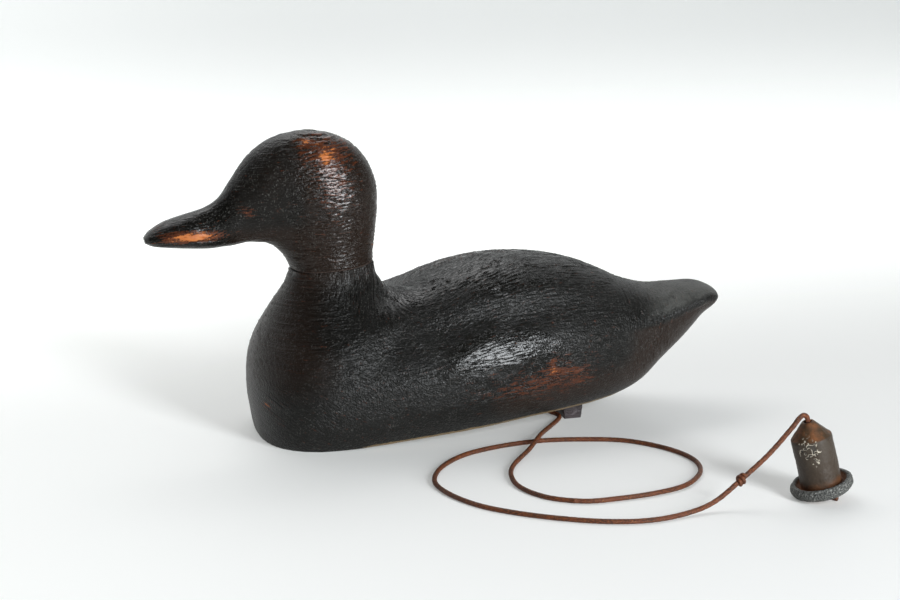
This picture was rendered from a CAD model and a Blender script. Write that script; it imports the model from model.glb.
"""Looks for the floating duck decoy: tooled black-painted body and head, worn edges, laced anchor
line, cast ballast and cast anchor weight. Lengths are in millimetres until a mesh is made."""
import math

import bpy
import numpy as np
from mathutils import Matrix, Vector, kdtree


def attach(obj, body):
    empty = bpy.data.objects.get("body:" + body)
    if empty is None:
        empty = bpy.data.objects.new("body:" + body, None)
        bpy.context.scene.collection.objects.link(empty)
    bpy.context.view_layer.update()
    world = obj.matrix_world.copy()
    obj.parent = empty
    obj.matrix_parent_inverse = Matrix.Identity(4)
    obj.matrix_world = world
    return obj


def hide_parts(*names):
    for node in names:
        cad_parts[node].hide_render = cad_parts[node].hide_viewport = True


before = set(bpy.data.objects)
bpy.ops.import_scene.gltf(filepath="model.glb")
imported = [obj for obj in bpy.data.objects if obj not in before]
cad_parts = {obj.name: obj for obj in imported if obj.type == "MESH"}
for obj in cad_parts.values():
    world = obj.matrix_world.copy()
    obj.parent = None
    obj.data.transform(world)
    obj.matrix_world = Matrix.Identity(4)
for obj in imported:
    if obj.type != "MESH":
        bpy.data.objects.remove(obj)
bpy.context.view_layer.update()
MM = 0.001
scene = bpy.context.scene

# ---------------------------------------------------------------- camera
camera_data = bpy.data.cameras.new("camera")
camera_data.sensor_width = 36
camera_data.lens = 76.96   # fitted, as are the place and the direction below
camera = bpy.data.objects.new("camera", camera_data)
scene.collection.objects.link(camera)
camera.location = (-0.3519, -1.2487, 0.413)
DOWN = math.radians(14.2)
look = Vector((0.2756 * math.cos(DOWN), 0.9613 * math.cos(DOWN), -math.sin(DOWN)))
camera.rotation_mode = "QUATERNION"
camera.rotation_quaternion = look.to_track_quat("-Z", "Y")
scene.camera = camera

# ---------------------------------------------------------------- how the decoy and weight lie
TILT, PIVOT_X, SINK, SHIFT_X = math.radians(4), -112, -0.9, 1.2
LEAN, LEAN_TO = math.radians(14.5), math.radians(-12)
WEIGHT_FOOT = np.array([183.3, -225, 3.62])
WEIGHT_AXIS = np.array([-math.sin(LEAN) * math.cos(LEAN_TO), -math.sin(LEAN) * math.sin(LEAN_TO),
                        math.cos(LEAN)])
WEIGHT_H, SHOULDER_H = 48, 38.5
FILLER_T = 0.8
DOWEL_MID = 113.8                                 # height of the dowel's middle, decoy upright
STAPLE_X, STAPLE_Y, STAPLE_LOW = 70.9, -8, 4.55   # the staple, and how low its crown wire is
CREASE = math.radians(52)                         # edges sharper than this stay sharp
LINE_D = 3.2


def laid(p):
    """From the decoy's upright frame to the way that it lies."""
    x, y, z = p[..., 0] - PIVOT_X, p[..., 1], p[..., 2]
    return np.stack([x * math.cos(TILT) - z * math.sin(TILT) + PIVOT_X + SHIFT_X, y,
                     z * math.cos(TILT) + x * math.sin(TILT) + SINK], -1)


def floored(p):
    """Nothing reaches below the table."""
    out = p.copy()
    out[..., 2] = np.maximum(out[..., 2], 0)
    return out


# ---------------------------------------------------------------- arithmetic
def spread(c, e):
    return np.sign(c) * np.abs(c) ** e


def bell(x, mid, wide):
    return np.exp(-((x - mid) / wide) ** 2)


def smooth(x, low, high):
    f = np.clip((x - low) / (high - low), 0, 1)
    return f * f * (3 - 2 * f)


def near(p, centre, size):
    """1 at centre, falling off over size, which may differ along each axis."""
    d = (p - np.array(centre, float)) / np.array(size, float)
    return np.exp(-(d ** 2).sum(-1))


def along(rows, t):
    """Catmull-Rom through rows, as in the CAD."""
    rows = np.asarray(rows, float)
    last = len(rows) - 1
    padded = np.vstack([2 * rows[0] - rows[1], rows, 2 * rows[-1] - rows[-2]])
    i = np.minimum(t.astype(int), last - 1)
    f = (t - i)[:, None]
    p0, p1, p2, p3 = padded[i], padded[i + 1], padded[i + 2], padded[i + 3]
    return 0.5 * (2 * p1 + (p2 - p0) * f + (2 * p0 - 5 * p1 + 4 * p2 - p3) * f ** 2
                  + (3 * p1 - p0 - 3 * p2 + p3) * f ** 3)


def noise(x, y, z=0.0, seed=1):
    """Value noise from 0 to 1."""
    x, y, z = np.broadcast_arrays(np.asarray(x, float), np.asarray(y, float), np.asarray(z, float))
    cell = [np.floor(v).astype(np.int64) for v in (x, y, z)]
    f = [v - c for v, c in zip((x, y, z), cell)]
    f = [v * v * (3 - 2 * v) for v in f]

    def hashed(dx, dy, dz):
        n = ((cell[0] + dx) * 73856093) ^ ((cell[1] + dy) * 19349663) ^ ((cell[2] + dz) * 83492791)
        n = (n ^ (seed * 7919)) & 0xFFFFFFFF
        n = ((n ^ (n >> 15)) * 0x2C1B3C6D) & 0xFFFFFFFF
        n = ((n ^ (n >> 12)) * 0x297A2D39) & 0xFFFFFFFF
        return ((n ^ (n >> 15)) & 0xFFFF) / 65535

    total = 0
    for dx in (0, 1):
        for dy in (0, 1):
            for dz in (0, 1):
                w = (f[0] if dx else 1 - f[0]) * (f[1] if dy else 1 - f[1])
                total = total + w * (f[2] if dz else 1 - f[2]) * hashed(dx, dy, dz)
    return total


def strokes(u, v, long, pitch, seed):
    """Broken ridges that run along u, a pitch apart in v, from -1 to 1."""
    drift = 2.2 * noise(u / (1.8 * long), v / (7 * pitch), seed=seed + 5)
    waver = 0.7 * noise(u / (0.4 * long), v / (1.5 * pitch), seed=seed + 6)
    cut_marks = np.sin(2 * math.pi * (v / pitch + drift + waver))
    depth = smooth(noise(u / (0.55 * long), v / pitch, seed=seed), 0.15, 0.75)
    fine = noise(u / (0.3 * long), v / pitch * 2.4, seed=seed + 1)
    return 0.62 * depth * cut_marks + 0.8 * (fine - 0.5)


# ---------------------------------------------------------------- meshes
def new_object(name, vertices, faces, smooth_angle=None):
    mesh = bpy.data.meshes.new(name)
    mesh.from_pydata(vertices, [], faces)
    mesh.validate()
    mesh.update()
    mesh.polygons.foreach_set("use_smooth", [True] * len(mesh.polygons))
    if smooth_angle:
        mesh.set_sharp_from_angle(angle=math.radians(smooth_angle))
    made = bpy.data.objects.new(name, mesh)
    scene.collection.objects.link(made)
    return made


def grid_faces(n, k, caps=True):
    i, j = np.meshgrid(np.arange(n - 1), np.arange(k), indexing="ij")
    a, b = i * k + j, i * k + (j + 1) % k
    faces = np.stack([a, b, b + k, a + k], -1).reshape(-1, 4).tolist()
    if caps:
        faces += [list(range(k - 1, -1, -1)), list(range((n - 1) * k, n * k))]
    return faces


def attribute(made, name, values):
    """A float, or a vector of three, on every vertex."""
    kind = "FLOAT" if values.ndim == 1 else "FLOAT_VECTOR"
    layer = made.data.attributes.new(name, kind, "POINT")
    key = "value" if values.ndim == 1 else "vector"
    layer.data.foreach_set(key, np.ascontiguousarray(values, np.float32).ravel())


def positions(made):
    co = np.empty(len(made.data.vertices) * 3)
    made.data.vertices.foreach_get("co", co)
    return co.reshape(-1, 3)


def cut(made, *cutters):
    """Takes the cutters out of the mesh, and removes them."""
    for cutter in cutters:
        modifier = made.modifiers.new("cut", "BOOLEAN")
        modifier.operation, modifier.solver, modifier.object = "DIFFERENCE", "MANIFOLD", cutter
    graph = bpy.context.evaluated_depsgraph_get()
    result = bpy.data.meshes.new_from_object(made.evaluated_get(graph))
    made.modifiers.clear()
    made.data = result
    for cutter in cutters:
        bpy.data.objects.remove(cutter)


def carry_over(made, source, values):
    """Gives every vertex of made the values of the nearest source point."""
    tree = kdtree.KDTree(len(source))
    for i, p in enumerate(source):
        tree.insert(p, i)
    tree.balance()
    index = np.array([tree.find(p)[1] for p in positions(made)])
    for name, v in values.items():
        attribute(made, name, v[index])


def surface_normals(p):
    """Outward normals of a closed-round grid of points."""
    du = np.gradient(p, axis=0)
    dv = np.roll(p, -1, 1) - np.roll(p, 1, 1)
    n = np.cross(du, dv)
    return n / np.maximum(np.linalg.norm(n, axis=-1, keepdims=True), 1e-9)


# ---------------------------------------------------------------- node trees
class Tree:
    """Short ways to write a material's nodes."""

    def __init__(self, name):
        self.material = bpy.data.materials.new(name)
        self.material.use_nodes = True
        self.nodes, self.links = self.material.node_tree.nodes, self.material.node_tree.links
        self.nodes.clear()
        self.shader = self.nodes.new("ShaderNodeBsdfPrincipled")
        out = self.nodes.new("ShaderNodeOutputMaterial")
        self.links.new(self.shader.outputs[0], out.inputs[0])

    def put(self, socket, value):
        if isinstance(value, bpy.types.NodeSocket):
            self.links.new(value, socket)
        elif isinstance(value, tuple) and len(value) == 3 and socket.type == "RGBA":
            socket.default_value = (*value, 1)
        else:
            socket.default_value = value

    def set(self, **values):
        for name, value in values.items():
            self.put(self.shader.inputs[name.replace("_", " ")], value)

    def node(self, kind, values, **settings):
        n = self.nodes.new("ShaderNode" + kind)
        for name, value in settings.items():
            setattr(n, name, value)
        for key, value in values.items():
            self.put(n.inputs[key], value)
        return n

    def math(self, op, a, b=0.0, c=0.0):
        return self.node("Math", {0: a, 1: b, 2: c}, operation=op).outputs[0]

    def read(self, name, vector=False):
        return self.node("Attribute", {}, attribute_name=name).outputs[1 if vector else 2]

    def object_mm(self):
        where = self.node("TexCoord", {}).outputs["Object"]
        return self.node("VectorMath", {0: where, 3: 1000.0}, operation="SCALE").outputs[0]

    def stretched(self, where, x, y, z):
        return self.node("VectorMath", {0: where, 1: (x, y, z)}, operation="MULTIPLY").outputs[0]

    def split(self, where):
        n = self.node("SeparateXYZ", {0: where})
        return n.outputs[0], n.outputs[1], n.outputs[2]

    def noise(self, where, scale=1.0, detail=2.0, rough=0.5, distortion=0.0):
        return self.node("TexNoise", {"Vector": where, "Scale": scale, "Detail": detail,
                                      "Roughness": rough, "Distortion": distortion}).outputs[0]

    def cells(self, where, scale=1.0, feature="F1"):
        return self.node("TexVoronoi", {"Vector": where, "Scale": scale}, feature=feature).outputs[0]

    def range(self, value, low, high, to_low=0.0, to_high=1.0):
        return self.node("MapRange", {0: value, 1: low, 2: high, 3: to_low, 4: to_high},
                         interpolation_type="SMOOTHSTEP").outputs[0]

    def mix(self, factor, a, b):
        return self.node("Mix", {0: factor, 6: a, 7: b}, data_type="RGBA").outputs[2]

    def bump(self, height, distance, strength=1.0, normal=None):
        values = {"Height": height, "Distance": distance, "Strength": strength}
        if normal is not None:
            values["Normal"] = normal
        return self.node("Bump", values).outputs[0]


def dress(made, material):
    made.data.materials.clear()
    made.data.materials.append(material)


# ---------------------------------------------------------------- the anchor line's route
LINE_ROUTE = [
    [70.9, -13, 3.6], [74.2, -19, 2.8], [77.8, -26, 2.2], [75.6, -33.5, 1.9], [64, -49.5, 2.4],
    [55, -63, 3.9], [47.2, -75.6, 5.05], [33.5, -95, 3.1], [15, -119, 1.8], [7.2, -139, 1.6],
    [6.6, -161, 1.6], [17, -182.3, 1.6], [37, -195, 1.6], [60, -196, 1.6], [86, -193, 1.6],
    [108.5, -184.5, 1.6], [125, -167, 1.6], [132, -148, 1.6], [130.3, -128.5, 1.6], [120, -108, 1.6],
    [101.5, -89.8, 1.6], [74, -79.8, 1.6], [47, -75.6, 1.6], [17, -79.4, 1.6], [-10, -90, 1.6],
    [-31, -109.5, 1.6], [-42.5, -134, 1.6], [-40.5, -158, 1.6], [-29, -183, 1.6], [-12, -201.3, 1.6],
    [12, -218.8, 1.6], [38, -231.8, 1.6], [64, -237, 1.6], [90, -232.6, 2.1], [109, -228, 5.8],
    [127, -225.2, 17], [145, -224.4, 31.2], [160.3, -223.3, 46.3], [164.8, -223, 51.6],
    [168, -222.8, 54]]
KNOT_ON_LINE = 35


def up_weight(h):
    return WEIGHT_FOOT + h * WEIGHT_AXIS


LINE_PATH = np.array([
    *LINE_ROUTE, up_weight(WEIGHT_H + 2.6), up_weight(WEIGHT_H - 2), up_weight(WEIGHT_H / 2),
    up_weight(5), up_weight(2) + [0.5, -0.9, 0], up_weight(0) + [1.7, -3.2, -1.1],
    up_weight(0) + [3.2, -6, -1.85], up_weight(0) + [4.9, -9.2, -1.95]])


def even_path(rows, step):
    """Points a step apart on the smooth curve through rows."""
    fine = along(rows, np.linspace(0, len(rows) - 1, 40 * len(rows)))
    far = np.concatenate([[0], np.cumsum(np.linalg.norm(np.diff(fine, axis=0), axis=1))])
    at = np.linspace(0, far[-1], int(far[-1] / step) + 1)
    return np.stack([np.interp(at, far, fine[:, i]) for i in range(3)], -1), at


def frames(path, first):
    """Tangents and two normals, turned as little as possible along the path."""
    t = np.gradient(path, axis=0)
    t /= np.linalg.norm(t, axis=1, keepdims=True)
    n = np.empty_like(t)
    last = np.array(first, float)
    for i, d in enumerate(t):
        last = last - last.dot(d) * d
        last /= np.linalg.norm(last)
        n[i] = last
    return t, n, np.cross(t, n)


def tube(name, path, at, radius, sides, first=(0, 0, 1), relief=None):
    """A laced cord: round, with crossing strands raised on it."""
    t, n, b = frames(path, first)
    angle = 2 * math.pi * np.arange(sides) / sides
    r = np.full((len(path), sides), 0.0) + np.reshape(radius, (-1, 1))
    if relief is not None:
        r = r + relief(at[:, None], angle[None, :])
    p = path[:, None] + r[..., None] * (np.cos(angle)[None, :, None] * n[:, None]
                                        + np.sin(angle)[None, :, None] * b[:, None])
    made = new_object(name, (p * MM).reshape(-1, 3), grid_faces(len(path), sides))
    flow = np.stack(np.broadcast_arrays(at[:, None], angle[None, :] * LINE_D / 2, 0 * r), -1)
    attribute(made, "flow", flow.reshape(-1, 3))
    return made


def braid(at, angle, height=0.055, lay=5.2, strands=4):
    """The raised strands of a braided lace."""
    turn = 2 * math.pi * at / lay
    one = np.cos(strands * angle + turn)
    two = np.cos(strands * angle - turn)
    wobble = 0.05 * (noise(at / 9, angle, seed=41) - 0.5) + 0.05 * (noise(at / 2, angle * 2, seed=42) - 0.5)
    return height * np.maximum(one, two) - height + wobble


def line_relief(at, angle):
    snag = 0.9 * bell(at, 213, 1.6) * np.maximum(np.cos(angle - 2.6), 0) ** 2
    return braid(at, angle) + snag


line_points, line_at = even_path(LINE_PATH, 0.5)


def turns(at, direction, count, r, pitch):
    """A short coil round a direction, its ends tucked in."""
    a = np.array(direction, float)
    a /= np.linalg.norm(a)
    b = np.array([0, 0.3, 1.0])
    b -= b.dot(a) * a
    b /= np.linalg.norm(b)
    c = np.cross(a, b)
    f = np.linspace(0, 1, int(count * 44))[:, None]
    g = 2 * math.pi * count * f
    w = r * (0.62 + 0.38 * np.sin(math.pi * f) ** 0.6)
    lean = 0.35 * r * np.sin(g + 0.8)
    return np.array(at) + a * ((f - 0.5) * count * pitch + lean) + w * (np.cos(g) * b + np.sin(g) * c)


# ---------------------------------------------------------------- carved stations, as in the CAD
BODY = [
    [-42.5, 114, -100, 114, 24.5, .50, 2.0, 2.0, 0], [-41.5, 106, -105.5, 103, 26.5, .50, 2.0, 2.0, 0],
    [-38, 98.5, -117, 88, 34, .55, 2.0, 2.0, 0], [-32, 93, -129, 68, 46, .58, 2.0, 2.1, 0],
    [-24, 92.5, -134.5, 46, 57, .60, 2.0, 2.3, .015], [-15, 95.5, -135, 20, 63, .60, 2.0, 2.4, .035],
    [-4, 99.5, -128, -8, 66, .57, 2.0, 2.4, .055], [11, 103.5, -97, -22, 67.5, .53, 2.05, 2.5, .07],
    [29, 106, -50, -23, 68, .51, 2.1, 2.5, .08], [47, 106, 0, -21, 67, .50, 2.1, 2.5, .085],
    [66, 104, 42, -16, 63.5, .49, 2.1, 2.5, .085], [86, 99.5, 78, -12, 58.5, .49, 2.1, 2.6, .075],
    [105, 93, 104, -8, 52.5, .49, 2.1, 2.7, .055], [121, 85, 123, -4, 46, .47, 2.1, 2.7, .03],
    [138, 75.5, 141, 1.5, 39.5, .44, 2.1, 2.5, .01], [158, 68.5, 160, 13, 33.5, .42, 2.2, 1.9, 0],
    [178, 66.5, 180, 27, 28, .40, 2.3, 1.65, 0], [195, 65.2, 195.5, 40.2, 23, .40, 2.3, 1.6, 0],
    [204.5, 61.4, 204.5, 48.9, 16.5, .45, 2.2, 1.7, 0], [208, 57.2, 207.5, 54.2, 6, .50, 2.0, 2.0, 0]]
HEAD = [
    [-100, 114, -42.5, 114, 24.5, .50, 2.0, 2.0, 0], [-101.3, 119, -42, 121, 24.5, .50, 2.0, 2.0, 0],
    [-103.8, 124.2, -40, 132, 25, .50, 2.0, 2.0, 0], [-107.3, 128.8, -37, 150, 26.5, .52, 2.0, 2.1, 0],
    [-111, 132.3, -36.8, 168, 27.5, .54, 2.0, 2.2, 0], [-115.5, 134.5, -44, 187, 27.5, .55, 2.0, 2.2, 0],
    [-119.7, 135.2, -58.5, 200.3, 26.5, .56, 2.0, 2.2, 0],
    [-124, 136, -80.5, 206.8, 24.5, .57, 2.0, 2.2, 0],
    [-128, 136.3, -104, 204.2, 21, .55, 2.0, 2.1, 0],
    [-132, 135.8, -120.7, 194.8, 17, .50, 2.0, 2.0, 0],
    [-137.5, 135.1, -133.2, 180.2, 14.5, .45, 2.0, 2.0, 0],
    [-144.3, 135.1, -143, 168.6, 13.5, .42, 2.1, 2.0, 0],
    [-154, 135.2, -153.5, 162.8, 14, .40, 2.2, 2.0, 0], [-166, 136.9, -167.5, 159.7, 15, .40, 2.3, 2.0, 0],
    [-179, 139.1, -181, 156.6, 14, .42, 2.3, 2.0, 0], [-190, 141.5, -191.5, 151.6, 10.5, .45, 2.3, 2.0, 0],
    [-195, 143.8, -195.5, 147.6, 5, .50, 2.0, 2.0, 0]]
HOLLOW = [[-98, 13, 34], [-91, 23, 52], [-77, 32, 66], [-54, 37.5, 76], [-26, 39, 79], [2, 38, 82],
          [32, 34.5, 83], [60, 30.5, 80], [83, 24, 72], [97, 17, 60], [105, 9, 46]]
BOARD = [[-120, 0], [-117.5, 17], [-109, 31], [-93, 41.5], [-70, 46.5], [-40, 47.5], [-5, 46],
         [30, 41.5], [60, 37], [88, 30], [106, 21.5], [116, 11], [119, 0]]
BOARD_T, BEDDING_T = 9.5, 0.5
DOWEL_D, DOWEL_LEN = 12.5, 54


def station_ring(s, angle):
    """Points of cross-sections s at these angles, which may differ from section to section."""
    s = s[:, None, :]
    c, q = np.cos(angle), np.sin(angle)
    e = 2 / np.where(c > 0, s[..., 6], s[..., 7])
    degrees = np.degrees(np.minimum(angle, 2 * math.pi - angle))
    swell = 1 - s[..., 8] * bell(degrees, 58, 15) + 0.35 * s[..., 8] * bell(degrees, 98, 18)
    m = s[..., 5]
    u = m - swell * np.where(c > 0, m, 1 - m) * spread(c, e)
    return np.stack([s[..., 0] + (s[..., 2] - s[..., 0]) * u, swell * s[..., 4] * spread(q, e),
                     s[..., 1] + (s[..., 3] - s[..., 1]) * u], -1)


def carved(rows, rings, sides, uneven):
    """The smooth surface: points, angles, and lengths along the body and round it."""
    t = np.linspace(0, len(rows) - 1, rings)
    turn = 2 * math.pi * np.arange(sides) / sides
    angle = np.broadcast_to(turn - uneven * np.sin(turn), (rings, sides)).copy()
    s = along(rows, t)
    p = station_ring(s, angle)
    return t, s, angle, p


def arc_lengths(p):
    """How far each point is along the body, and round it from the widest place on its side."""
    sides = p.shape[1]
    q = sides // 4
    step = np.linalg.norm(np.diff(p[:, q], axis=0), axis=1)
    along_it = np.concatenate([[0], np.cumsum(step)])[:, None] + 0 * p[..., 0]
    chord = np.linalg.norm(np.roll(p, -1, 1) - p, axis=-1)
    half = sides // 2
    first = np.concatenate([np.zeros((len(p), 1)), np.cumsum(chord[:, :half], 1)], 1)
    first -= first[:, q:q + 1]
    round_it = np.empty(p.shape[:2])
    round_it[:, :half + 1] = first
    round_it[:, half + 1:] = first[:, 1:half][:, ::-1]
    return along_it, round_it


def grown_board(grow):
    half = along(BOARD, np.linspace(0, len(BOARD) - 1, 37))
    half = np.stack([half[:, 0] + grow * (half[:, 0] + 0.5) / 119.5,
                     np.maximum(half[:, 1], 0) * (1 + grow / 47)], -1)
    return np.concatenate([half, half[-2:0:-1] * [1, -1]])


def prism(name, outline, low, high):
    """A slab of this outline between two heights of the upright frame."""
    rings = [np.column_stack([outline, np.full(len(outline), z)]) for z in (low, high)]
    p = laid(np.stack(rings))
    faces = grid_faces(2, len(outline))
    return new_object(name, (p * MM).reshape(-1, 3), faces)


def dowel_cutter(name, low):
    turn = 2 * math.pi * np.arange(40) / 40
    circle = np.stack([-71 + DOWEL_D / 2 * np.cos(turn), DOWEL_D / 2 * np.sin(turn)], -1)
    return prism(name, circle, low, low + DOWEL_LEN)


def hollow_cutter(name):
    s = along(HOLLOW, np.linspace(0, len(HOLLOW) - 1, 16))
    a = np.radians(np.arange(0, 360, 15))[None, :]
    foot = BOARD_T - 2
    y = s[:, 1:2] * spread(np.sin(a), 0.7)
    z = foot + (s[:, 2:3] - foot) * np.maximum(spread(np.cos(a), 0.8), 0)
    p = laid(np.stack([s[:, 0:1] + 0 * y, y, z], -1))
    return new_object(name, (p * MM).reshape(-1, 3), grid_faces(len(s), 24))


def face_out(made):
    """Turns the mesh's faces outward if its volume comes out negative."""
    mesh = made.data
    mesh.calc_loop_triangles()
    p = positions(made)
    tri = np.empty(len(mesh.loop_triangles) * 3, int)
    mesh.loop_triangles.foreach_get("vertices", tri)
    a, b, c = (p[tri.reshape(-1, 3)[:, i]] for i in range(3))
    if (a * np.cross(b, c)).sum() < 0:
        mesh.flip_normals()
    return made


# ---------------------------------------------------------------- body
def shaded(made):
    """Smooth, but for its sharp edges."""
    made.data.polygons.foreach_set("use_smooth", [True] * len(made.data.polygons))
    made.data.set_sharp_from_angle(angle=CREASE)
    return made


def body_piece():
    t, s, angle, p = carved(BODY, 400, 360, 0.22)
    # the sharp edge round the bottom runs through a point of every ring
    for i in range(len(t)):
        for side in (0, 1):
            js = np.arange(90, 181) if side == 0 else np.arange(270, 179, -1)
            z = p[i, js, 2]
            under = np.nonzero(z < 0)[0]
            if len(under) == 0 or under[0] == 0:
                continue
            j, k = js[under[0]], js[under[0] - 1]
            f = z[under[0] - 1] / (z[under[0] - 1] - z[under[0]])
            edge = angle[i, k] + f * (angle[i, j] - angle[i, k])
            angle[i, j if f > 0.5 else k] = edge
    p = station_ring(s, angle)
    u, v = arc_lengths(p)
    n = surface_normals(p)
    x, z = p[..., 0], p[..., 2]
    side = np.where(p[..., 1] < 0, 0.0, 300.0)
    above = smooth(z, 0.5, 9)

    # which way the tool went: lengthwise, level and slanting on the breast, across at the tail
    breast = 1 - smooth(x + 0.5 * (z - 60), -78, -38)
    tail = smooth(x, 112, 136) * (1 - smooth(x, 186, 197))
    slant = (smooth(-z, -52, -34) * bell(x, -52, 42))
    phi = np.radians(38) * smooth(-z, -66, -40)
    q_across = (z - 50) * np.cos(phi) + (x + 60) * np.sin(phi)
    q_along = (x + 60) * np.cos(phi) - (z - 50) * np.sin(phi) + 0.6 * p[..., 1]
    use_breast = np.clip(breast + slant, 0, 1)
    q_across = np.where(x > 60, x, q_across)
    q_along = np.where(x > 60, v, q_along)
    other = np.clip(np.where(x > 60, tail, use_breast), 0, 1)

    lengthwise = strokes(u + side, v, 17, 2.7, 11)
    other_way = strokes(q_along + side, q_across, 13, 2.6, 21)
    ridges = lengthwise * (1 - other) + other_way * other
    calm = np.clip(smooth(x, 150, 185) * 0.75 + (1 - smooth(z, 14, 30)) * 0.8
                   + (1 - smooth(x, -132, -118)) * smooth(-z, -60, -40) * 0.7, 0, 0.9)
    strength = (0.40 + 0.14 * smooth(z, 70, 100)) * (1 - calm) * above
    hand = 0.6 * (noise(x / 30, p[..., 1] / 30, z / 30, seed=3) - 0.5) * above
    pits = -0.25 * smooth(noise(u / 2.6 + side, v / 2.2, seed=31), 0.72, 0.95) * above * (1 - calm)
    # the underside of the tail is hollowed a little below its ridge
    below = smooth(v, 0.3, 6) * (1 - smooth(v, 12, 36)) * smooth(x, 112, 150) * (1 - smooth(x, 192, 203))
    pits = pits - 1.9 * below + 0.5 * bell(v, -1, 3) * smooth(x, 120, 150) * (1 - smooth(x, 192, 203))
    # the knob and the dip at the root of the neck, the wing's crest and the full back above it
    knob = 2.0 * near(p, (-27, -19, 91), (9, 10, 9)) - 1.0 * near(p, (-40, -26, 95), (7, 9, 8))
    crest_z = 46 + (x + 12) * 0.6
    wing = 1.3 * bell(z, crest_z + 1, 8) * smooth(x, -20, -6) * (1 - smooth(x, 34, 58))
    fill = 1.6 * bell(z, 87, 9) * bell(x, 36, 40)
    seam = -0.5 * bell(z, 114, 0.9) * smooth(noise(v / 5 + side, 1, seed=9), 0.35, 0.8)
    nick = -1.6 * near(p, (-102, -5, 113), (4, 7, 1.8))
    height = strength * ridges + hand + pits + knob + (wing + fill) * above + seam + nick
    height[0] = height[0].clip(max=0)
    edge_chips = 0.45 * (noise(x / 6, side / 9 + 2, seed=14) - 0.4) * bell(z, 1, 3)
    p = p + n * (height - edge_chips * 0.6)[..., None]
    shape = floored(laid(floored(p)))

    made = face_out(new_object("decoy_body", (shape * MM).reshape(-1, 3), grid_faces(*p.shape[:2])))
    source = positions(made).copy()

    # where paint is worn, brown or orange shows, and where it lies smooth
    w = laid(p)
    worn = (0.52 * near(w, (60.5, -64, 50), (2.6, 20, 5.5)) + 0.30 * near(w, (72, -62, 45), (12, 30, 2.2))
            + 0.30 * near(w, (84, -57, 36), (11, 30, 1.7)) + 0.27 * near(w, (68, -60, 44), (30, 40, 13))
            + 0.75 * near(w, (-131, -35, 30), (4, 5, 2.2)) + 0.28 * near(w, (40, -62, 36), (45, 40, 9))
            + 0.6 * near(w, (50, 66, 46), (24, 20, 8)) + 0.6 * near(w, (-126, 30, 40), (8, 8, 5))
            + 0.25 * near(w, (-100, -20, 118), (12, 18, 8)) + 0.45 * near(w, (205, 0, 72), (7, 18, 8))
            + 0.35 * near(w, (20, 10, 108), (30, 10, 10)))
    worn = worn + 0.16 * np.clip(ridges, -1, 1)
    edge = bell(z, 0.6, 1.6) * smooth(x, -125, -40)
    brown = np.clip(0.9 * (1 - smooth(x, -125, -60)) * smooth(z, 25, 60) + 0.75 * bell(z, 16, 14)
                    * smooth(x, 0, 40) + 0.6 * near(w, (-80, 0, 118), (40, 60, 16))
                    + smooth(x, 115, 150) * smooth(v, 0, 6), 0, 1)
    flow = np.stack([u + side, v, 0 * u], -1)
    flow2 = np.stack([q_along + side, q_across, other], -1)
    masks = np.stack([worn, brown, calm], -1)
    # where dust dulls it, and where handling has polished it
    dust = smooth(x, 136, 168) * smooth(-v, 0, 5)
    shine = (near(w, (30, -66, 54), (44, 34, 25)) + near(w, (30, 0, 108), (75, 60, 13))
             + near(w, (30, 66, 54), (44, 34, 25)) + near(w, (-33, -22, 96), (14, 16, 10)))
    finish = np.stack([dust, np.clip(shine, 0, 1), 0 * u], -1)
    values = {"flow": flow.reshape(-1, 3), "flow2": flow2.reshape(-1, 3),
              "masks": masks.reshape(-1, 3), "edge": edge.ravel(), "finish": finish.reshape(-1, 3)}
    cut(made, face_out(prism("rebate", grown_board(BEDDING_T), -5, BOARD_T + BEDDING_T)),
        face_out(hollow_cutter("hollow")),
        face_out(dowel_cutter("dowel_hole", DOWEL_MID - DOWEL_LEN / 2)))
    carry_over(made, source, values)
    return shaded(made)


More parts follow.
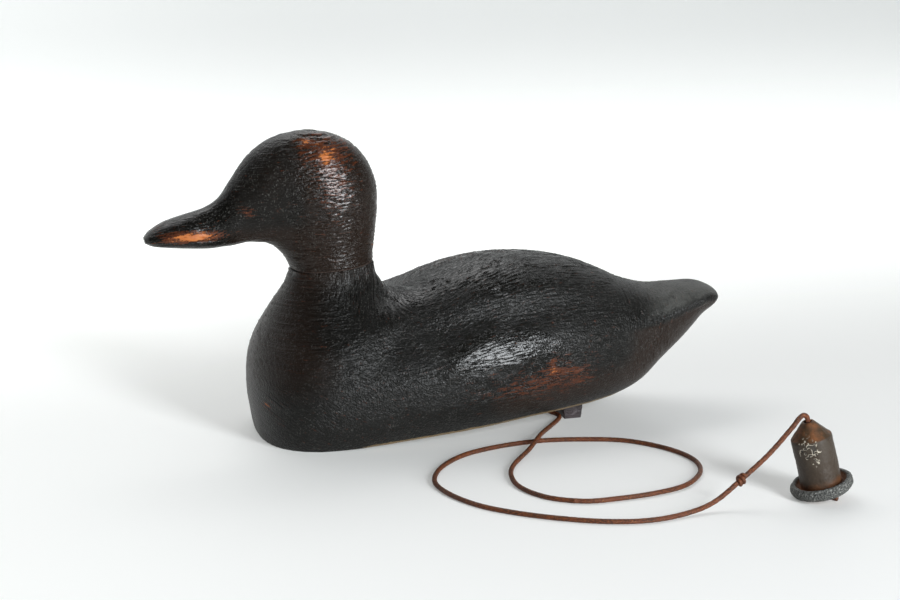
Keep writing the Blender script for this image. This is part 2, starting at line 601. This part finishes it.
# ---------------------------------------------------------------- head
def head_piece():
    """Head, neck and bill, with the tool marks level but for the bill's."""
    t, s, angle, p = carved(HEAD, 270, 250, 0.0)
    u, v = arc_lengths(p)
    n = surface_normals(p)
    x, y, z = p[..., 0], p[..., 1], p[..., 2]
    side = np.where(y < 0, 0.0, 300.0)
    bill = 1 - smooth(x, -146, -132)

    level = strokes(x + 0.4 * y + side, z, 13, 2.6, 51)
    lengthwise = strokes(x + side, v, 16, 2.6, 61)
    ridges = level * (1 - bill) + lengthwise * bill
    back = smooth(x, -100, -84)
    calm = np.clip(0.55 + 0.25 * bill - 0.5 * smooth(x, -106, -94), 0, 0.9)
    strength = 0.44 * (1 - calm)
    hand = 0.7 * (noise(x / 22, y / 22, z / 22, seed=4) - 0.5)
    pits = -0.2 * smooth(noise(u / 2.4 + side, v / 2.2, seed=33), 0.7, 0.95)
    seam = -0.5 * bell(z, 114, 0.9) * smooth(noise(v / 5 + side, 1, seed=9), 0.35, 0.8)
    nick = -1.6 * near(p, (-102, -5, 115), (4, 7, 1.8))
    # the line between the two halves of the bill, and a slight cheek
    mouth = -0.45 * bell(z, 143.4 - 0.04 * (x + 166) - 0.0022 * (x + 166) ** 2, 0.7) * (
        1 - smooth(x, -149, -141)) * smooth(np.abs(y), 3, 8)
    cheek = 1.2 * bell(z, 160, 15) * bell(x, -92, 22)
    height = strength * ridges + hand + pits * (1 - 0.6 * bill) + seam + nick + mouth + cheek
    height[0] = height[0].clip(max=0)
    p = p + n * height[..., None]
    shape = laid(p + [0, 0, FILLER_T])
    made = face_out(new_object("decoy_head", (shape * MM).reshape(-1, 3), grid_faces(*p.shape[:2])))
    source = positions(made).copy()

    w = shape
    # worn: the crown, the glossy band, a dull spot at the eye's place on the near side, the bill,
    # then the far side and the bill's tip
    worn = (0.66 * near(w, (-97, -15, 203), (4.5, 12, 2.6)) + 0.64 * near(w, (-86, -22, 193), (3.5, 12, 3.6))
            + 0.50 * near(w, (-84, -18, 197), (19, 26, 12)) + 0.40 * near(w, (-80, -27, 174), (13, 22, 20))
            + 0.45 * near(w, (-138, -16, 158), (5, 8, 4)) + 1.15 * near(w, (-174, -13, 142), (18, 12, 2.9))
            + 0.45 * near(w, (-172, -13, 145), (20, 12, 3)) + 0.8 * near(w, (-177, 13, 142), (12, 12, 3))
            + 0.5 * near(w, (-88, 14, 200), (18, 14, 9)) + 0.3 * near(w, (-80, 27, 168), (12, 22, 20))
            + 0.4 * near(w, (-196, 0, 149), (5, 8, 4)))
    worn = worn + 0.16 * np.clip(ridges, -1, 1)
    shine = 0.3 + (near(w, (-82, -27, 175), (17, 34, 40)) + near(w, (-82, 27, 175), (17, 34, 40))
                   + 0.6 * bill)
    finish = np.stack([0 * u, np.clip(shine, 0, 1), 0 * u], -1)
    throat = smooth(-z, -152, -136) * smooth(x, -150, -128)
    brown = np.clip(0.35 + 0.65 * throat - 0.2 * bill + 0.3 * back, 0, 1)
    flow = np.stack([u + side, v, 0 * u], -1)
    flow2 = np.stack([x + 0.4 * y + side, z, 1 - bill], -1)
    masks = np.stack([worn, brown, calm], -1)
    values = {"flow": flow.reshape(-1, 3), "flow2": flow2.reshape(-1, 3),
              "masks": masks.reshape(-1, 3), "edge": 0 * x.ravel(), "finish": finish.reshape(-1, 3)}
    cut(made, face_out(dowel_cutter("dowel_hole", DOWEL_MID - DOWEL_LEN / 2 + FILLER_T)))
    carry_over(made, source, values)
    return shaded(made)


def filler_piece():
    """The dark filler between head and neck, a little low and uneven, with a nick at the front."""
    row = np.array(HEAD[0])
    angle = 2 * math.pi * np.arange(250) / 250
    rings = []
    for i, h in enumerate(np.linspace(0, FILLER_T, 5)):
        p = station_ring(row[None], angle[None])[0]
        out = p - [-71, 0, 114]
        out /= np.linalg.norm(out, axis=1, keepdims=True)
        low = 0.35 + 0.35 * noise(angle * 9, h, seed=71) + 1.5 * near(p, (-100, -5, 114), (4, 7, 9))
        if i in (0, 4):
            low = low + 0.25
        rings.append(p - out * low[:, None] + [0, 0, h])
    shape = laid(np.stack(rings))
    made = face_out(new_object("neck_filler_ring", (shape * MM).reshape(-1, 3), grid_faces(5, 250)))
    cut(made, face_out(dowel_cutter("dowel_hole", 100)))
    return made


# ---------------------------------------------------------------- anchor weight
def weight_piece():
    """A rough casting turned round its own axis, with its dish under the foot and its bore."""
    s, b, bore, dish = 12.75, 19.5, 2.3, 5.8
    profile = np.array([
        [dish, 0], [b - 5.6, 0], [b - 3.2, 0.5], [b - 1.4, 1.7], [b - 0.3, 3.4], [b, 5.4],
        [b - 0.3, 7.2], [b - 1.1, 8.3], [b - 2.2, 8.6], [b - 3.3, 8.1], [b - 4.1, 6.8],
        [s + 0.9, 5.3], [s, 6.1], [s, 8], [s, SHOULDER_H - 2.2], [s - 0.25, SHOULDER_H - 0.7],
        [s - 1.2, SHOULDER_H + 0.1], [bore + 2.2, WEIGHT_H - 1.3], [bore + 1.2, WEIGHT_H - 0.25],
        [bore + 0.45, WEIGHT_H - 0.3], [bore, WEIGHT_H - 1.1], [bore, 6.4], [dish - 0.8, 6.4],
        [dish, 5.6], [dish, 0]])
    step = np.linalg.norm(np.diff(profile, axis=0), axis=1)
    far = np.concatenate([[0], np.cumsum(step)])
    at = np.unique(np.concatenate([np.arange(0, far[-1], 0.55), far]))[:-1]
    r = np.interp(at, far, profile[:, 0])
    h = np.interp(at, far, profile[:, 1])
    for _ in range(2):
        r = (np.roll(r, 1) + 2 * r + np.roll(r, -1)) / 4
        h = (np.roll(h, 1) + 2 * h + np.roll(h, -1)) / 4
    sides = 220
    turn = 2 * math.pi * np.arange(sides) / sides
    dr, dh = np.roll(r, -1) - np.roll(r, 1), np.roll(h, -1) - np.roll(h, 1)
    size = np.hypot(dr, dh)
    nr, nh = dh / size, -dr / size
    x, y = r[:, None] * np.cos(turn), r[:, None] * np.sin(turn)
    z = h[:, None] + 0 * x
    inside = (r < bore + 0.5)[:, None] & (h < WEIGHT_H - 1)[:, None]
    brim = ((r > s + 1.2) & (h < 10))[:, None]
    rough = (0.16 * (noise(x / 1.1, y / 1.1, z / 1.1, seed=81) - 0.5)
             + 0.34 * (noise(x / 4, y / 4, z / 4, seed=82) - 0.5)
             + 0.5 * (noise(x / 11, y / 11, z / 11, seed=83) - 0.5))
    grain = 0.44 * (noise(x / 1.1, y / 1.1, z / 1.1, seed=84) - 0.5) * brim
    pocks = smooth(noise(x / 1.5, y / 1.5, z / 1.5, seed=85), 0.52, 0.78)
    patch = bell(z, 31.5, 5.5) * bell(np.cos(turn + 2.0)[None, :], 1, 0.1) + 0.1
    height = np.where(inside, 0.1 * rough, rough + grain - 0.42 * pocks * patch * (z > 8))
    lip = 0.5 * (noise(turn * 3, 1.0, seed=86) - 0.5)[None, :] * (r > b - 3)[:, None]
    foot = np.where((h < 0.8) & (r > dish + 1), 0.25, 1)[:, None]
    height = height * foot
    local = np.stack([x + (nr[:, None] * height + lip) * np.cos(turn),
                      y + (nr[:, None] * height + lip) * np.sin(turn), z + nh[:, None] * height], -1)
    e3 = WEIGHT_AXIS
    e1 = np.array([math.cos(LEAN) * math.cos(LEAN_TO), math.cos(LEAN) * math.sin(LEAN_TO),
                   math.sin(LEAN)])
    e2 = np.cross(e3, e1)
    world = WEIGHT_FOOT + local @ np.stack([e1, e2, e3])
    i, j = np.meshgrid(np.arange(len(r)), np.arange(sides), indexing="ij")
    a, c = i * sides + j, ((i + 1) % len(r)) * sides + j
    a2, c2 = i * sides + (j + 1) % sides, ((i + 1) % len(r)) * sides + (j + 1) % sides
    faces = np.stack([a, a2, c2, c], -1).reshape(-1, 4).tolist()
    made = face_out(new_object("mushroom_weight", (world * MM).reshape(-1, 3), faces, 60))
    attribute(made, "place", np.stack([z, r[:, None] + 0 * x, pocks * patch], -1).reshape(-1, 3))
    return made


# ---------------------------------------------------------------- ballast casting
def ballast_piece():
    """The CAD bar's form as a hand-poured casting: rounded, wavy, with its nail holes."""
    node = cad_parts["ballast_bar"]
    made = bpy.data.objects.new("ballast_casting", node.data.copy())
    scene.collection.objects.link(made)
    remesh = made.modifiers.new("remesh", "REMESH")
    remesh.mode, remesh.voxel_size = "VOXEL", 0.55 * MM
    ease = made.modifiers.new("ease", "SMOOTH")
    ease.factor, ease.iterations = 0.5, 5
    graph = bpy.context.evaluated_depsgraph_get()
    result = bpy.data.meshes.new_from_object(made.evaluated_get(graph))
    made.modifiers.clear()
    made.data = result
    p = positions(made) / MM
    normal = np.empty(len(p) * 3)
    made.data.vertices.foreach_get("normal", normal)
    normal = normal.reshape(-1, 3)
    height = (0.5 * (noise(*(p / 7).T, seed=91) - 0.5) + 0.22 * (noise(*(p / 2.2).T, seed=92) - 0.5))
    free = smooth(p[:, 2], 0.2, 1.6)
    p = p + normal * (height * free)[:, None]
    p[:, 2] = np.maximum(p[:, 2], 0.02)
    made.data.vertices.foreach_set("co", (p * MM).ravel())
    made.data.polygons.foreach_set("use_smooth", [True] * len(made.data.polygons))
    made.data.update()
    return made


# ---------------------------------------------------------------- materials
def painted_wood():
    """Old black paint over rasped wood: thin brown where rubbed, orange wood at the worst places."""
    m = Tree("painted_wood")
    where = m.object_mm()
    flow, flow2 = m.read("flow", True), m.read("flow2", True)
    worn, brown, calm = m.split(m.read("masks", True))
    other = m.split(flow2)[2]
    edge = m.read("edge")
    dust, shine = m.split(m.read("finish", True))[:2]

    fine1 = m.noise(m.stretched(flow, 0.12, 0.8, 0), detail=2, rough=0.6)
    fine2 = m.noise(m.stretched(flow2, 0.14, 0.8, 0), detail=2, rough=0.6)
    lines = m.node("Mix", {0: other, 2: fine1, 3: fine2}).outputs[0]
    speck = m.noise(where, 0.75, 3, 0.6)
    pimples = m.noise(where, 0.8, 1.5, 0.55)
    broad = m.noise(where, 0.035, 3, 0.55)
    blotch = m.noise(where, 0.16, 4, 0.6)

    warm = m.range(m.math("MULTIPLY_ADD", broad, 0.5, brown), 0.35, 1.15)
    paint = m.mix(warm, (0.0042, 0.0040, 0.0033), (0.0125, 0.0068, 0.0042))
    dusty = m.range(m.math("MULTIPLY", blotch, speck), 0.30, 0.50)
    paint = m.mix(m.math("MULTIPLY", dusty, 0.2), paint, (0.028, 0.028, 0.025))
    paint = m.mix(m.math("MULTIPLY", dust, m.range(blotch, 0.3, 0.6, 0.45, 0.9)), paint,
                  (0.066, 0.066, 0.061))

    # small pale glints, more of them where the paint is blotchy
    glints = m.range(m.noise(where, 0.95, 2, 0.55), 0.57, 0.66)
    glints = m.math("MULTIPLY", glints, m.range(blotch, 0.35, 0.6, 0.15, 1.0))
    paint = m.mix(m.math("MULTIPLY", glints, 0.6), paint, (0.072, 0.070, 0.064))

    # worn: strokes and specks break up the soft patches
    broken = m.math("MULTIPLY_ADD", lines, 1.5, m.math("MULTIPLY_ADD", speck, 1.0, -1.25))
    rub = m.math("ADD", worn, broken)
    brown_shows = m.range(rub, 0.25, 0.55)
    orange_shows = m.range(rub, 0.72, 0.95)
    brown_wood = m.mix(blotch, (0.050, 0.013, 0.006), (0.11, 0.034, 0.014))
    orange_wood = m.mix(m.noise(where, 0.35, 3, 0.6), (0.30, 0.055, 0.009), (0.52, 0.19, 0.045))
    colour = m.mix(m.math("MULTIPLY", brown_shows, 0.85), paint, brown_wood)
    colour = m.mix(orange_shows, colour, orange_wood)
    rim = m.range(m.math("MULTIPLY_ADD", blotch, 0.9, edge), 0.95, 1.25)
    colour = m.mix(m.math("MULTIPLY", rim, 0.8), colour, (0.22, 0.15, 0.075))

    gloss = m.range(m.math("MULTIPLY_ADD", broad, 0.6, m.math("MULTIPLY", speck, 0.5)), 0.3, 0.8,
                    0.09, 0.2)
    rough = m.math("ADD", gloss, m.math("MULTIPLY", orange_shows, 0.15))
    rough = m.math("ADD", rough, m.range(shine, 0.0, 0.9, 0.25, 0.0))
    rough = m.math("MULTIPLY_ADD", dust, 0.1, rough)
    # flat strokes between narrow cuts, and pimples where nothing has rubbed them down
    tool = m.math("MULTIPLY", m.range(lines, 0.36, 0.5), m.range(calm, 0.0, 1.0, 1.0, 0.25))
    rise = m.math("MULTIPLY", pimples, m.range(shine, 0.0, 0.9, 0.46, 0.10))
    height = m.math("MULTIPLY_ADD", tool, 0.24, rise)
    height = m.math("SUBTRACT", height, m.math("MULTIPLY", orange_shows, 0.25))
    m.set(Base_Color=colour, Roughness=rough, Normal=m.bump(height, 0.0013))
    m.set(Specular_IOR_Level=0.22)
    return m.material


def board_wood():
    m = Tree("board_wood")
    where = m.object_mm()
    grain = m.noise(m.stretched(where, 0.012, 0.22, 0.22), detail=6, rough=0.65, distortion=0.6)
    fine = m.noise(m.stretched(where, 0.05, 1.1, 1.1), detail=3)
    blotch = m.noise(where, 0.06, 4, 0.6)
    worn = m.range(m.math("MULTIPLY_ADD", grain, 0.6, blotch), 0.72, 0.95)
    wood = m.mix(grain, (0.10, 0.055, 0.028), (0.24, 0.15, 0.08))
    colour = m.mix(worn, m.mix(blotch, (0.009, 0.008, 0.007), (0.024, 0.018, 0.013)), wood)
    height = m.math("MULTIPLY_ADD", grain, 0.6, m.math("MULTIPLY", fine, 0.4))
    m.set(Base_Color=colour, Roughness=m.range(fine, 0.2, 0.8, 0.42, 0.6),
          Normal=m.bump(height, 0.0007))
    return m.material


def bare_wood():
    m = Tree("bare_wood")
    where = m.object_mm()
    grain = m.noise(m.stretched(where, 0.5, 0.5, 0.03), detail=5, distortion=0.4)
    colour = m.mix(grain, (0.42, 0.26, 0.13), (0.68, 0.50, 0.30))
    m.set(Base_Color=colour, Roughness=m.range(grain, 0.3, 0.7, 0.5, 0.65),
          Normal=m.bump(grain, 0.0005))
    return m.material


def compound(name, dark, light, scale=0.5):
    """Dried sealing compound or filler: lumpy and cracked."""
    m = Tree(name)
    where = m.object_mm()
    lumps = m.noise(where, scale, 4, 0.6)
    cracks = m.cells(where, scale * 0.6, "DISTANCE_TO_EDGE")
    colour = m.mix(lumps, dark, light)
    height = m.math("MULTIPLY_ADD", m.range(cracks, 0, 0.08), 0.4, lumps)
    m.set(Base_Color=colour, Roughness=m.range(lumps, 0.3, 0.7, 0.55, 0.8),
          Normal=m.bump(height, 0.0006))
    return m.material


def rusty_steel():
    m = Tree("rusty_steel")
    where = m.object_mm()
    scale = m.noise(where, 0.9, 5, 0.65)
    spots = m.noise(where, 0.28, 4, 0.6)
    rust = m.range(m.math("MULTIPLY_ADD", spots, 0.8, m.math("MULTIPLY", scale, 0.4)), 0.45, 0.72)
    colour = m.mix(rust, (0.055, 0.047, 0.042), m.mix(scale, (0.09, 0.032, 0.014), (0.24, 0.085, 0.03)))
    m.set(Base_Color=colour, Roughness=m.range(rust, 0, 1, 0.38, 0.85),
          Metallic=m.range(rust, 0, 1, 0.8, 0.0), Normal=m.bump(scale, 0.0005))
    return m.material


def ballast_lead():
    m = Tree("ballast_lead")
    where = m.object_mm()
    flow_marks = m.noise(m.stretched(where, 0.12, 0.05, 0.35), detail=4, distortion=1.2)
    pits = m.cells(where, 0.75)
    stain = m.noise(where, 0.09, 5, 0.6)
    colour = m.mix(m.range(stain, 0.35, 0.65), (0.014, 0.008, 0.009), (0.036, 0.025, 0.027))
    colour = m.mix(m.range(flow_marks, 0.62, 0.8), colour, (0.070, 0.060, 0.062))
    height = m.math("MULTIPLY_ADD", m.range(pits, 0.0, 0.3), 0.5, flow_marks)
    m.set(Base_Color=colour, Roughness=m.range(flow_marks, 0.3, 0.7, 0.62, 0.42),
          Metallic=m.range(flow_marks, 0.45, 0.8, 0.1, 0.55), Normal=m.bump(height, 0.0006))
    return m.material


def line_lace():
    """Waxed red-brown lace: every strand catches light, and the colour shifts along it."""
    m = Tree("line_lace")
    flow = m.read("flow", True)
    where = m.object_mm()
    patches = m.noise(where, 0.11, 4, 0.6)
    mottle = m.noise(m.stretched(flow, 0.5, 0.9, 1), detail=4, rough=0.65)
    fibres = m.noise(m.stretched(flow, 0.9, 4.5, 1), detail=3, rough=0.6)
    specks = m.noise(where, 1.3, 2)
    base = m.mix(m.range(patches, 0.36, 0.62), (0.030, 0.011, 0.005), (0.115, 0.026, 0.008))
    colour = m.mix(m.range(mottle, 0.38, 0.68), base, (0.22, 0.062, 0.016))
    colour = m.mix(m.range(specks, 0.60, 0.72), colour, (0.36, 0.14, 0.045))
    colour = m.mix(m.range(fibres, 0.62, 0.30), colour, (0.022, 0.010, 0.006))
    height = m.math("MULTIPLY_ADD", fibres, 0.5, mottle)
    m.set(Base_Color=colour, Roughness=m.range(mottle, 0.3, 0.7, 0.62, 0.45),
          Normal=m.bump(height, 0.00035))
    m.set(Specular_IOR_Level=0.3)
    return m.material


def weight_iron():
    """Cast iron: smooth brown-grey stem, granular grey brim, rust in the dish and on the cone."""
    m = Tree("weight_iron")
    height_up, radius, pocks = m.split(m.read("place", True))
    where = m.object_mm()
    grains = m.noise(where, 1.0, 4, 0.7)
    stain = m.noise(where, 0.11, 5, 0.6)
    fine = m.noise(where, 0.42, 4, 0.6)
    stem = m.mix(stain, (0.023, 0.015, 0.009), (0.054, 0.038, 0.026))
    grey_up = m.math("MULTIPLY", m.range(stain, 0.35, 0.6), m.range(height_up, 12, 33))
    stem = m.mix(m.math("MULTIPLY", grey_up, 0.5), stem, (0.048, 0.040, 0.030))
    rust = m.mix(fine, (0.10, 0.033, 0.012), (0.25, 0.095, 0.030))
    low_rust = m.range(m.math("MULTIPLY_ADD", stain, 9, height_up), 17, 8.5)
    colour = m.mix(m.math("MULTIPLY", low_rust, 0.75), stem, rust)
    cone = m.range(height_up, 37.2, 38.4)
    olive = m.mix(m.range(stain, 0.46, 0.75), (0.046, 0.026, 0.012), rust)
    colour = m.mix(m.math("MULTIPLY", cone, 0.85), colour, olive)
    brim_grey = m.mix(m.range(grains, 0.38, 0.66), (0.030, 0.031, 0.029), (0.19, 0.19, 0.178))
    brim_grey = m.mix(m.range(grains, 0.62, 0.70), brim_grey, (0.58, 0.57, 0.54))
    on_brim = m.math("MULTIPLY", m.range(radius, 15.4, 16.8), m.range(height_up, 12, 9))
    colour = m.mix(on_brim, colour, brim_grey)
    colour = m.mix(m.math("MULTIPLY", m.range(pocks, 0.10, 0.22), m.range(fine, 0.42, 0.52)), colour,
                   (0.40, 0.36, 0.29))
    colour = m.mix(m.range(pocks, 0.30, 0.5), colour, (0.036, 0.030, 0.024))
    bump = m.math("MULTIPLY_ADD", grains, m.math("MULTIPLY_ADD", on_brim, 0.8, 0.25),
                  m.math("MULTIPLY", fine, 0.35))
    rough = m.math("ADD", m.range(stain, 0.3, 0.7, 0.40, 0.55), m.math("MULTIPLY", low_rust, 0.25))
    m.set(Base_Color=colour, Roughness=rough, Metallic=m.math("MULTIPLY", on_brim, 0.35),
          Normal=m.bump(bump, 0.0008))
    m.set(Specular_IOR_Level=0.26)
    return m.material


# ---------------------------------------------------------------- make, dress and fasten the pieces
lace = line_lace()
line = face_out(tube("laced_line", line_points, line_at, LINE_D / 2, 24, (0, 1, 0.2), line_relief))
dress(line, lace)
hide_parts("anchor_line")
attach(line, "decoy")


def knot_piece(name, node, at, direction, count, r, pitch):
    path, far = even_path(turns(at, direction, count, r, pitch), 0.3)
    fat = 1.32 * (1 - 0.35 * (bell(far, 0, 1.2) + bell(far, far[-1], 1.2)))
    made = face_out(tube(name, path, far, fat, 20, direction, lambda a, b: braid(a, b, 0.05, 4.2)))
    dress(made, lace)
    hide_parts(node)
    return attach(made, "decoy")


route = np.array(LINE_ROUTE)
knots = [
    knot_piece("line_knot_turns", "line_knot", route[KNOT_ON_LINE],
               route[KNOT_ON_LINE + 1] - route[KNOT_ON_LINE - 1], 2.25, 2.25, 2.3),
    knot_piece("stopper_knot_turns", "stopper_knot", up_weight(2.1), WEIGHT_AXIS, 1.5, 2, 2.4),
    knot_piece("tie_knot_turns", "tie_knot", (71, -14.4, 3.7), (0.1, -1, -0.15), 2, 2, 2.4)]
around = np.radians(np.arange(0, 352, 4))
loop_r = 1.25 + LINE_D / 2 + 0.05
loop_path = np.stack([STAPLE_X + 0.5 * np.sin(around / 2), STAPLE_Y + loop_r * np.sin(around),
                      STAPLE_LOW + loop_r * np.cos(around)], -1)
loop_path, loop_at = even_path(loop_path, 0.35)
loop = face_out(tube("tie_loop_turn", loop_path, loop_at, 1.5, 20, (1, 0, 0),
                     lambda a, b: braid(a, b, 0.05, 4.6)))
dress(loop, lace)
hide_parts("tie_loop")
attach(loop, "decoy")

weight = weight_piece()
dress(weight, weight_iron())
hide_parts("anchor_weight")
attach(weight, "weight")

paint = painted_wood()
for made, node in ((body_piece(), "body"), (head_piece(), "head")):
    dress(made, paint)
    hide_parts(node)
    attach(made, "decoy")

filler = filler_piece()
dress(filler, compound("filler", (0.012, 0.008, 0.006), (0.060, 0.030, 0.018), 0.9))
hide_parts("neck_filler")
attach(filler, "decoy")

ballast = ballast_piece()
dress(ballast, ballast_lead())
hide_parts("ballast_bar")
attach(ballast, "decoy")

steel = rusty_steel()
for name, material in (("bottom_board", board_wood()), ("neck_dowel", bare_wood()),
                       ("board_bedding", compound("bedding", (0.30, 0.20, 0.11), (0.62, 0.48, 0.30))),
                       ("board_nails", steel), ("neck_nails", steel), ("ballast_nails", steel),
                       ("line_staple", steel)):
    dress(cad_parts[name], material)

# ---------------------------------------------------------------- floor, light
sweep = [(-5, 0), (0.42, 0), (0.62, 0.025), (0.78, 0.1), (0.88, 0.22), (0.93, 0.36), (0.95, 0.55)]
floor = new_object("floor", [(side, y, z) for y, z in sweep for side in (-6, 6)],
                   [(2 * i, 2 * i + 1, 2 * i + 3, 2 * i + 2) for i in range(len(sweep) - 1)])
m = Tree("floor")
side, depth, height = m.split(m.node("TexCoord", {}).outputs["Object"])
far = m.range(depth, 0.0, 0.6)
wall = m.range(height, 0.0, 0.2)
glow = m.math("MULTIPLY_ADD", far, 0.49, 0.19)
glow = m.math("ADD", glow, m.range(side, 0.15, -0.5, 0.0, 0.24))
glow = m.math("SUBTRACT", glow, m.math("MULTIPLY", wall, 0.36))
paper = m.mix(wall, (0.60, 0.595, 0.585), (0.46, 0.465, 0.46))
m.set(Base_Color=paper, Roughness=0.6, Emission_Color=(0.97, 1.0, 0.98), Emission_Strength=glow)
m.set(Specular_IOR_Level=0.3)
dress(floor, m.material)


def softbox(name, place, aim, width, height, radiance, colour=(1, 1, 1)):
    """A rectangular light of this brightness, hidden from the camera."""
    data = bpy.data.lights.new(name, "AREA")
    data.shape, data.size, data.size_y, data.color = "RECTANGLE", width, height, colour
    data.energy = radiance * math.pi * width * height
    made = bpy.data.objects.new(name, data)
    scene.collection.objects.link(made)
    made.location = place
    made.rotation_mode = "QUATERNION"
    made.rotation_quaternion = (Vector(aim) - Vector(place)).to_track_quat("-Z", "Y")
    made.visible_camera = False
    return made


softbox("overhead", (-0.15, 0.72, 1.15), (0, 0, 0), 1.2, 0.4, 3.6)
softbox("window", (0.72, -1.65, 0.56), (0, 0, 0.08), 0.46, 1.05, 32, (0.93, 0.97, 1.0))

world = bpy.data.worlds.new("studio")
scene.world = world
world.use_nodes = True
nodes, links = world.node_tree.nodes, world.node_tree.links
nodes.clear()
coord = nodes.new("ShaderNodeTexCoord")
parts = nodes.new("ShaderNodeSeparateXYZ")
links.new(coord.outputs["Generated"], parts.inputs[0])
back = nodes.new("ShaderNodeMapRange")
back.interpolation_type = "SMOOTHSTEP"
FROM_MIN, FROM_MAX, TO_MIN, TO_MAX = 1, 2, 3, 4   # the sockets of a Map Range node
for socket, value in ((FROM_MIN, 0.0), (FROM_MAX, 0.62), (TO_MIN, 0.06), (TO_MAX, 1.15)):
    back.inputs[socket].default_value = value
links.new(parts.outputs[1], back.inputs[0])
sky = nodes.new("ShaderNodeBackground")
sky.inputs[0].default_value = (0.97, 0.99, 1.0, 1)
links.new(back.outputs[0], sky.inputs[1])
out = nodes.new("ShaderNodeOutputWorld")
links.new(sky.outputs[0], out.inputs[0])
scene.view_settings.view_transform = "Standard"
